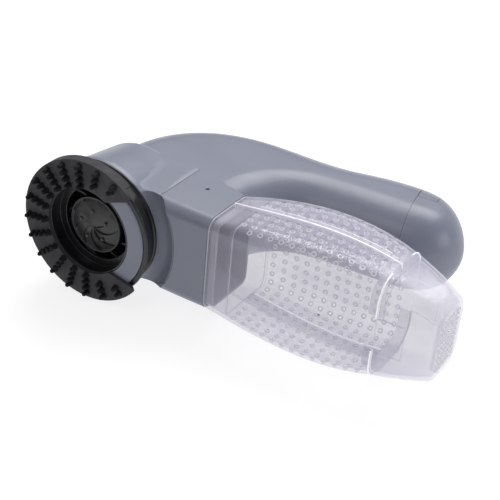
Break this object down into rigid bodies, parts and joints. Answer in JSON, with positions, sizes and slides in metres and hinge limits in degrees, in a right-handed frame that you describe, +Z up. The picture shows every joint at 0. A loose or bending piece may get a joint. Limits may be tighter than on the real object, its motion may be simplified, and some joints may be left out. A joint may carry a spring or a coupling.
{
  "type": "cordless hair vacuum",
  "caption": "Cordless hair vacuum on its side: round rubber-bristle suction head, clear hair bin with a latched end cap, and a hollow battery handle curving back beside it.",
  "frame": {"origin": "bottom centre of the bounding box; the cleaner lies on its side with its plane of symmetry level at z = 40 mm", "axes": "+X from the round head towards the free ends of the bin and the battery handle, -Y out of the suction mouth, +Z up, across the plane of symmetry"},
  "size_m": [0.232, 0.135, 0.08],
  "materials": {
    "body_plastic": "satin blue-grey moulded plastic",
    "ring_plastic": "satin light blue-grey moulded plastic",
    "black_plastic": "semi-gloss black moulded plastic",
    "pad_rubber": "matte charcoal moulded rubber",
    "seal_rubber": "pale translucent silicone",
    "bin_clear": "clear lavender-tinted moulded plastic",
    "fan_plastic": "black moulded plastic",
    "inner_plastic": "off-white moulded plastic",
    "steel": "plain steel",
    "magnet": "grey sintered magnet",
    "bronze": "sintered bronze",
    "contact_metal": "nickel-plated strip",
    "cell_can": "satin plastic-sleeved metal can"
  },
  "bodies": {
    "casing": {"front_housing": "body_plastic", "bin_collar": "body_plastic", "handle_upper": "body_plastic", "handle_lower": "body_plastic", "switch_case": "black_plastic", "nozzle_ring": "ring_plastic", "nozzle_skirt": "black_plastic", "throat_cup": "black_plastic", "bin_seal": "seal_rubber", "motor_can": "steel", "motor_magnet": "magnet", "motor_end_bell": "inner_plastic", "front_bush": "bronze", "rear_bush": "bronze", "motor_bulkhead": "black_plastic", "motor_screws": "steel", "housing_screws": "steel", "battery_tray": "inner_plastic", "battery_cell_1": "cell_can", "battery_cell_2": "cell_can", "battery_cell_3": "cell_can", "battery_cell_4": "cell_can", "front_contact_plate": "contact_metal", "contact_springs": "contact_metal"},
    "fan": {"spinner_cap": "fan_plastic", "impeller": "fan_plastic", "motor_shaft": "steel", "motor_rotor": "steel"},
    "pad": {"bristle_pad": "pad_rubber", "pad_bristles": "pad_rubber"},
    "bin": {"bin_near_shell": "bin_clear", "bin_far_shell": "bin_clear"},
    "bin_end_cap": {"end_cap": "bin_clear", "end_grille": "bin_clear"},
    "near_latch": {"end_latch_near": "bin_clear"},
    "far_latch": {"end_latch_far": "bin_clear"},
    "handle_cap": {"battery_cap": "body_plastic", "cap_contact_plate": "contact_metal"},
    "handle_cap_latch": {"battery_cap_latch": "body_plastic"},
    "switch": {"switch_knob": "black_plastic"}
  },
  "joints": [
    {"name": "fan_spin", "type": "hinge", "parent": "casing", "child": "fan", "pos_m": [-0.076, -0.045, 0.04], "axis": [0, 1, 0], "continuous": true},
    {"name": "pad_pull", "type": "slide", "parent": "casing", "child": "pad", "axis": [0, -1, 0], "range_m": [0, 0.012]},
    {"name": "bin_pull", "type": "slide", "parent": "casing", "child": "bin", "axis": [1, 0, 0], "range_m": [0, 0.03]},
    {"name": "end_cap_pull", "type": "slide", "parent": "bin", "child": "bin_end_cap", "axis": [1, 0, 0], "range_m": [0, 0.025]},
    {"name": "near_latch_press", "type": "hinge", "parent": "bin_end_cap", "child": "near_latch", "pos_m": [0.10085, -0.0494, 0.04], "axis": [0, 0, -1], "range_deg": [0, 5], "stiffness_Nm_per_rad": 0.05},
    {"name": "far_latch_press", "type": "hinge", "parent": "bin_end_cap", "child": "far_latch", "pos_m": [0.10085, -0.0113, 0.04], "axis": [0, 0, 1], "range_deg": [0, 5], "stiffness_Nm_per_rad": 0.05},
    {"name": "battery_cap_pull", "type": "slide", "parent": "casing", "child": "handle_cap", "axis": [0.9973, 0.0732, 0], "range_m": [0, 0.03]},
    {"name": "battery_cap_latch_press", "type": "hinge", "parent": "handle_cap", "child": "handle_cap_latch", "pos_m": [0.06865, 0.0531, 0.0585], "axis": [0.1736, -0.9848, 0], "range_deg": [0, 3], "stiffness_Nm_per_rad": 0.05},
    {"name": "switch_slide", "type": "slide", "parent": "casing", "child": "switch", "axis": [0.9925, 0.1219, 0], "range_m": [0, 0.005]}
  ]
}
